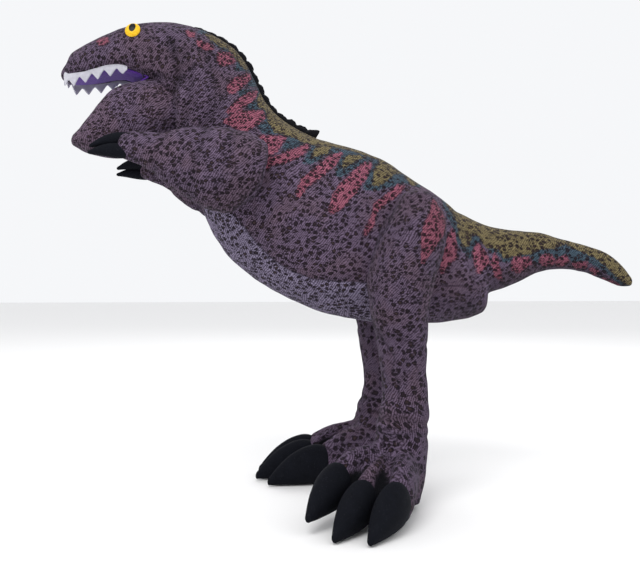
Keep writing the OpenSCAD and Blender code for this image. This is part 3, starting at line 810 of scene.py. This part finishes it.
def build_arm(side):
    geo = mirror_side(union("arm", [loft(ARM, 9, 5, 28)], smooth=3), side)
    v, f = geo
    n = normals_of(geo)
    v = v + n * ripple(v, 0.03, 1.2, 9.0)[:, None]
    # elbow and wrist creases
    bend = sum(d * np.exp(-((v[:, 1] - y - 0.25 * (v[:, 2] - 310)) / w) ** 2)
               for y, d, w in ((-160, 1.6, 4.0), (-196, 1.1, 3.0), (-132, 1.0, 4.0)))
    v = v - n * bend[:, None]
    attrs = plain_attrs(v, n)
    # painted shade: the whole arm a little darker, and darker again in its creases
    attrs["shade"] = attrs["shade"] * 0.90 * (1 - 0.14 * bend)
    ob = piece(f"arm_{side}_soft", (v, f), "knit", attrs, 1)
    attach(ob, f"arm_{side}")
    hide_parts(f"arm_{side}_skin", f"arm_{side}_stuffing")
    for tag, x, y, z, lean, yaw in (("a", 78, -220, 335.5, 7, 5), ("b", 86, -220, 323.5, -3, -4)):
        geo = loft(HAND_CLAW, 2, 3, 20)
        m = Matrix.Rotation(math.radians(yaw), 3, "Z") @ Matrix.Rotation(math.radians(lean), 3, "X")
        geo = mirror_side(moved(geo, m, shift=(x, y, z)), side)
        ob = piece(f"arm_{side}_claw_{tag}_velvet", geo, "velvet", sub=1)
        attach(ob, f"arm_{side}")
        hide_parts(f"arm_{side}_claw_{tag}")


def build_leg(side):
    lifts = [INNER_LIFT if side == "left" else 0, 0, 0]
    geo = union("leg", [loft(LEG, 12, 3, 32)] + [toe_loft(k, lifts[k]) for k in range(3)], smooth=5)
    v, f = geo
    n = normals_of(geo)
    p = seen(v)
    seam = np.where(v[:, 0] > 62, line_distance(p, SEAM_LEG, False), NO_SEAM)
    # stitched gaps between the toes, filled with black velvet near the claws
    web = np.zeros(len(v))
    for k in (0, 1):
        ends = [ANKLE[:2] + (np.array(TOE_ROOT[k]) + TOE_ROOT[k + 1]) / 2 + (0, -26),
                ANKLE[:2] + (np.array(CLAW_AT[k]) + CLAW_AT[k + 1]) / 2 + (0, -3)]
        gap = np.where(v[:, 2] < 64, line_distance(v[:, :2], ends, False), NO_SEAM)
        ahead = ANKLE[1] - v[:, 1]
        reach = 4.4 * soft_step(ahead, 50, 74)
        web = np.maximum(web, soft_step(reach - gap, -0.8, 0.8) * (reach > 0.3))
        v = v - n * ((2.0 + 2.4 * soft_step(ahead, 30, 65)) * np.exp(-(gap / 4.5) ** 2))[:, None]
        seam = np.minimum(seam, gap + 0.3)
    folds = 0
    creases = (((-10, 159), (59, 150), 1.1), ((14, 81), (65, 76), 1.5), ((17, 68), (68, 64), 1.2))
    for (y, z), (y2, z2), deep in creases:
        at = np.interp(v[:, 1], [y, y2], [z, z2]) + 3 * np.sin(v[:, 1] * 0.11)
        folds = folds + deep * np.exp(-((v[:, 2] - at) / 2.6) ** 2)
    v = v - n * (puckers(v, seam, 1.2) + folds)[:, None] + n * ripple(v, 0.03, 1.5, 15.0)[:, None]
    attrs = plain_attrs(v, n)
    attrs["pink"] = np.where(v[:, 0] > 55, field(p, THIGH_PINK), OUTSIDE)
    attrs["groove"] = np.minimum(seam, NO_SEAM)
    attrs["web"] = web
    # painted shade: the whole leg darker, and darker again in its creases
    attrs["shade"] = attrs["shade"] * 0.80 * (1 - 0.26 * folds)
    rest = v.copy()
    sole_geo = (v.copy(), f)
    v = foot_turn(v, side)
    geo = mirror_side((v, f), side)
    rest = rest if side == "left" else rest * np.array([-1, 1, 1]) + np.array([13.0, 7.0, 3.0])
    ob = piece(f"leg_{side}_soft", geo, "knit", attrs, 1, rest)
    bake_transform(ob)
    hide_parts(f"leg_{side}_outer_panel", f"leg_{side}_inner_panel", f"leg_{side}_stuffing",
                f"foot_{side}_upper", f"foot_{side}_stuffing", f"foot_{side}_pellet_bag")
    for k, tag in enumerate("abc"):
        v, f = loft(CLAW, 4, 3, 28)
        v = v + np.array([ANKLE[0] + CLAW_AT[k][0], ANKLE[1] + CLAW_AT[k][1], lifts[k]])
        geo = mirror_side((foot_turn(v, side), f), side)
        ob = piece(f"foot_{side}_claw_{tag}_velvet", geo, "velvet", sub=1)
        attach(ob, f"foot_{side}")
        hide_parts(f"foot_{side}_claw_{tag}")
    # velvet sole: the lowest part of the foot, standing slightly proud of the knit
    v, f = sole_geo
    n = normals_of(sole_geo)
    v = v + n * 0.5
    v[:, 2] = np.maximum(v[:, 2], 0.0)
    keep = v[:, 2] < 6.5
    geo, _ = part_of((v, f), keep, {})
    geo = mirror_side((foot_turn(geo[0], side), geo[1]), side)
    ob = piece(f"foot_{side}_sole_velvet", geo, "velvet")
    so = ob.modifiers.new("thickness", "SOLIDIFY")
    so.thickness, so.offset = 0.0011, -1
    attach(ob, f"foot_{side}")
    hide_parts(f"foot_{side}_sole")


def lip_path(rows, lower, x_part, lift, y_end):
    """Points along one lip, from the mouth corner round the front to the other corner."""
    fine = smooth_rows(rows, 8)
    pts = []
    for r in fine:
        e = r[2:4] if lower else r[0:2]
        if e[0] < y_end:
            pts.append((x_part * r[4], e[0], e[1] + lift))
    pts.sort(key=lambda q: -q[1])
    left = np.array(pts)
    tip = left[-1] * np.array([0, 1, 1]) + np.array([0, -2.0, 0])
    right = left[::-1] * np.array([-1, 1, 1])
    return np.concatenate([left, [tip], right])


def resample(path, step):
    d = np.concatenate([[0], np.cumsum(np.linalg.norm(np.diff(path, axis=0), axis=1))])
    n = max(2, int(round(d[-1] / step)))
    s = np.linspace(0, d[-1], n + 1)
    return np.stack([np.interp(s, d, path[:, i]) for i in range(3)], axis=1), s


def tooth_band(path, down, pitch, phase, base, deep, thick=1.9):
    """A felt strip with pointed teeth that hangs from a path, as a closed mesh."""
    pts, s = resample(path, pitch / 14)
    tang = np.gradient(pts, axis=0)
    tang[:, 2] = 0
    tang /= np.linalg.norm(tang, axis=1)[:, None]
    out = np.stack([-tang[:, 1], tang[:, 0], np.zeros(len(pts))], axis=1)
    u = ((s + phase) / pitch) % 1.0
    depth = base + deep * (1 - np.abs(2 * u - 1)) ** 1.1
    depth = depth * (0.5 + 0.5 * np.minimum(1, np.minimum(s, s[-1] - s) / 9))
    rows_ = 7
    verts = []
    for side_ in (1, -1):
        for i in range(rows_):
            q = i / (rows_ - 1)
            fat = thick / 2 * math.sqrt(max(0.0, 1 - max(0, q - 0.75) ** 2 / 0.0625 * 0.8))
            lean = 0.8 * (1 - q)
            verts.append(pts + np.array([0, 0, down])[None] * (depth * q)[:,
                                                                          None] + out * (side_ * fat - lean))
    n = len(pts)
    v = np.concatenate(verts)
    f = []
    half = rows_ * n
    for i in range(rows_ - 1):
        for j in range(n - 1):
            a = i * n + j
            f.append((a, a + 1, a + n + 1, a + n))
            f.append((half + a, half + a + n, half + a + n + 1, half + a + 1))
    for j in range(n - 1):
        a = (rows_ - 1) * n + j
        f.append((a, a + 1, half + a + 1, half + a))
        f.append((j, half + j, half + j + 1, j + 1))
    for i in range(rows_ - 1):
        a = i * n
        f.append((a, a + n, half + a + n, half + a))
        b = a + n - 1
        f.append((b, half + b, half + b + n, b + n))
    return v, f


def build_mouth():
    up = lip_path(TRUNK[:8], True, 0.83, 6.8, -226)
    ob = piece("teeth_upper_felt", tooth_band(up, -1, 12.5, 1.5, 5.8, 7.8), "felt_white", sub=1)
    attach(ob, "head")
    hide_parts("upper_teeth")
    low = lip_path(JAW, False, 0.68, -6.5, -222)
    ob = piece("teeth_lower_felt", tooth_band(low, 1, 12.0, 3.0, 1.6, 3.4), "felt_white", sub=1)
    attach(ob, "jaw")
    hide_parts("lower_teeth")
    # lining of palate, back of the mouth and lower jaw as one felt sheet
    rows_u = [r for r in smooth_rows(TRUNK[:8], 4) if -284 < r[2] < -213]
    rows_l = [r for r in smooth_rows(JAW, 4) if -276 < r[0] < -213]
    n = 25
    lines = []
    for r in rows_u:
        q = ring(r, n, arc=(math.radians(180 - 38), math.radians(180 + 38)), inset=1.9)
        lines.append(q)
    back = []
    for y, z in ((-210, 402.6), (-206.5, 401.6), (-210, 400.2)):
        w = 32.5
        xs = np.sin(np.linspace(math.radians(144), math.radians(216), n)) * w / 0.588
        back.append(np.stack([xs, np.full(n, y), np.full(n, z)], axis=1))
    low_lines = []
    for r in rows_l:
        q = ring(r, n, arc=(math.radians(36), math.radians(-36)), inset=1.9)
        low_lines.append(q)
    rows_all = lines + back + low_lines
    v = np.concatenate(rows_all)
    f = [(i * n + j, i * n + j + 1, (i + 1) * n + j + 1, (i + 1) * n + j)
         for i in range(len(rows_all) - 1) for j in range(n - 1)]
    ob = piece("mouth_lining_felt", (v, f), "felt_violet", sub=1)
    so = ob.modifiers.new("thickness", "SOLIDIFY")
    so.thickness, so.offset = 0.0012, 0
    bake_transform(ob)
    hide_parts("palate_lining", "jaw_lining")


def build_eyes():
    for side in ("left", "right"):
        r, n, m = 7.7, 40, 12
        rings, iris, rim = [], [], []
        for i in range(m + 1):
            t = i / m
            rad = r * math.sin(t * math.pi / 2)
            h = 3.6 * math.cos(t * math.pi / 2)
            for j in range(n):
                a = 2 * math.pi * j / n
                rings.append((rad * math.cos(a), rad * math.sin(a), h))
                iris.append(math.hypot(rad * math.cos(a) / 3.1, (rad * math.sin(a) - 2.0) / 4.6))
                rim.append(rad / r)
        base = len(rings)
        for j in range(n):
            a = 2 * math.pi * j / n
            rings.append((r * 0.96 * math.cos(a), r * 0.96 * math.sin(a), -2.5))
            iris.append(3)
            rim.append(1)
        v = np.array(rings)
        f = [(i * n + j, i * n + (j + 1) % n, (i + 1) * n + (j + 1) % n, (i + 1) * n + j)
             for i in range(m + 1) for j in range(n)]
        f.append(tuple(base + j for j in reversed(range(n))))
        # local z is the way the eye looks, local y is up
        look = Vector((math.cos(math.radians(18)), -0.14, math.sin(math.radians(18)))).normalized()
        upv = Vector((0, 0, 1))
        xa = upv.cross(look).normalized()
        ya = look.cross(xa)
        rot = np.array([xa, ya, look]).T
        w = v @ rot.T + np.array([37.2, -221.0, 443.0])
        geo = mirror_side((w, f), side)
        ob = piece(f"eye_{side}_dome", geo, "eye", {"iris": iris, "rim": rim})
        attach(ob, "head")
        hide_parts(f"eye_{side}")


def build_crest():
    line = np.array([(-192, 461), (-184, 461), (-170, 458.5), (-158, 454.5), (-146, 449), (-133, 440.5),
                     (-125, 433),
                     (-119, 425), (-114.5, 418), (-110.5, 410), (-106.5, 402), (-102.5, 394), (-98,
                                                                                               386), (-92.5,
                                                                                                      378),
                     (-85, 370.5), (-75, 364), (-62, 357.5), (-46, 351)], float)
    pts = np.stack([np.zeros(len(line)), line[:, 0], line[:, 1]], axis=1)
    k = 6
    dense = np.array([spline(pts[max(i - 1, 0)], pts[i], pts[i + 1], pts[min(i + 2, len(pts) - 1)], j / k)
                      for i in range(len(pts) - 1) for j in range(k)] + [pts[-1]])
    path, s = resample(dense, 1.0)
    tang = np.gradient(path, axis=0)
    tang /= np.linalg.norm(tang, axis=1)[:, None]
    up = np.stack([np.zeros(len(path)), -tang[:, 2], tang[:, 1]], axis=1)
    total = s[-1]
    count = 16
    n = 20
    vary = [random.uniform(0.75, 1.25) for _ in range(count + 1)]
    verts = []
    for i, q in enumerate(path):
        u = (s[i] / total * count) % 1.0
        bump = abs(math.sin(math.pi * u)) ** 0.8 * vary[int(s[i] / total * count)]
        grow = min(1, s[i] / 85 + 0.08)
        end = math.exp(-((total - s[i]) / 5) ** 2)
        hgt = (6.0 + 2.4 * bump) * grow + 0.8 + 3.5 * end
        for j in range(n):
            a = 2 * math.pi * j / n
            c, sn = math.cos(a), math.sin(a)
            wide = 4.4 * (1 - 0.25 * max(0, c)) * (0.85 + 0.15 * bump)
            p = q + up[i] * (hgt * 0.5 * c + hgt * 0.5 - 2.5) + np.array([wide * sn, 0, 0])
            p = p + tang[i] * 1.5 * max(0, c)
            verts.append(p)
    verts += [path[0], path[-1]]
    m = len(path)
    f = [(i * n + j, i * n + (j + 1) % n, (i + 1) * n + (j + 1) % n, (i + 1) * n + j)
         for i in range(m - 1) for j in range(n)]
    f += [(m * n, (j + 1) % n, j) for j in range(n)] + [(m * n + 1, (m - 1) * n + j,
                                                         (m - 1) * n + (j + 1) % n)
                                                      for j in range(n)]
    v = np.array(verts)
    nn = normals_of((v, f))
    v = v + nn * (ripple(v, 0.35, 0.9, 4.0))[:, None]
    ob = piece("crest_plush", (v, f), "plush", sub=1)
    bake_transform(ob)
    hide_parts("crest_neck", "crest_back")


make_camera()
make_stage()
make_materials()
build_trunk()
build_jaw()
for SIDE in ("left", "right"):
    build_arm(SIDE)
    build_leg(SIDE)
build_mouth()
build_eyes()
build_crest()
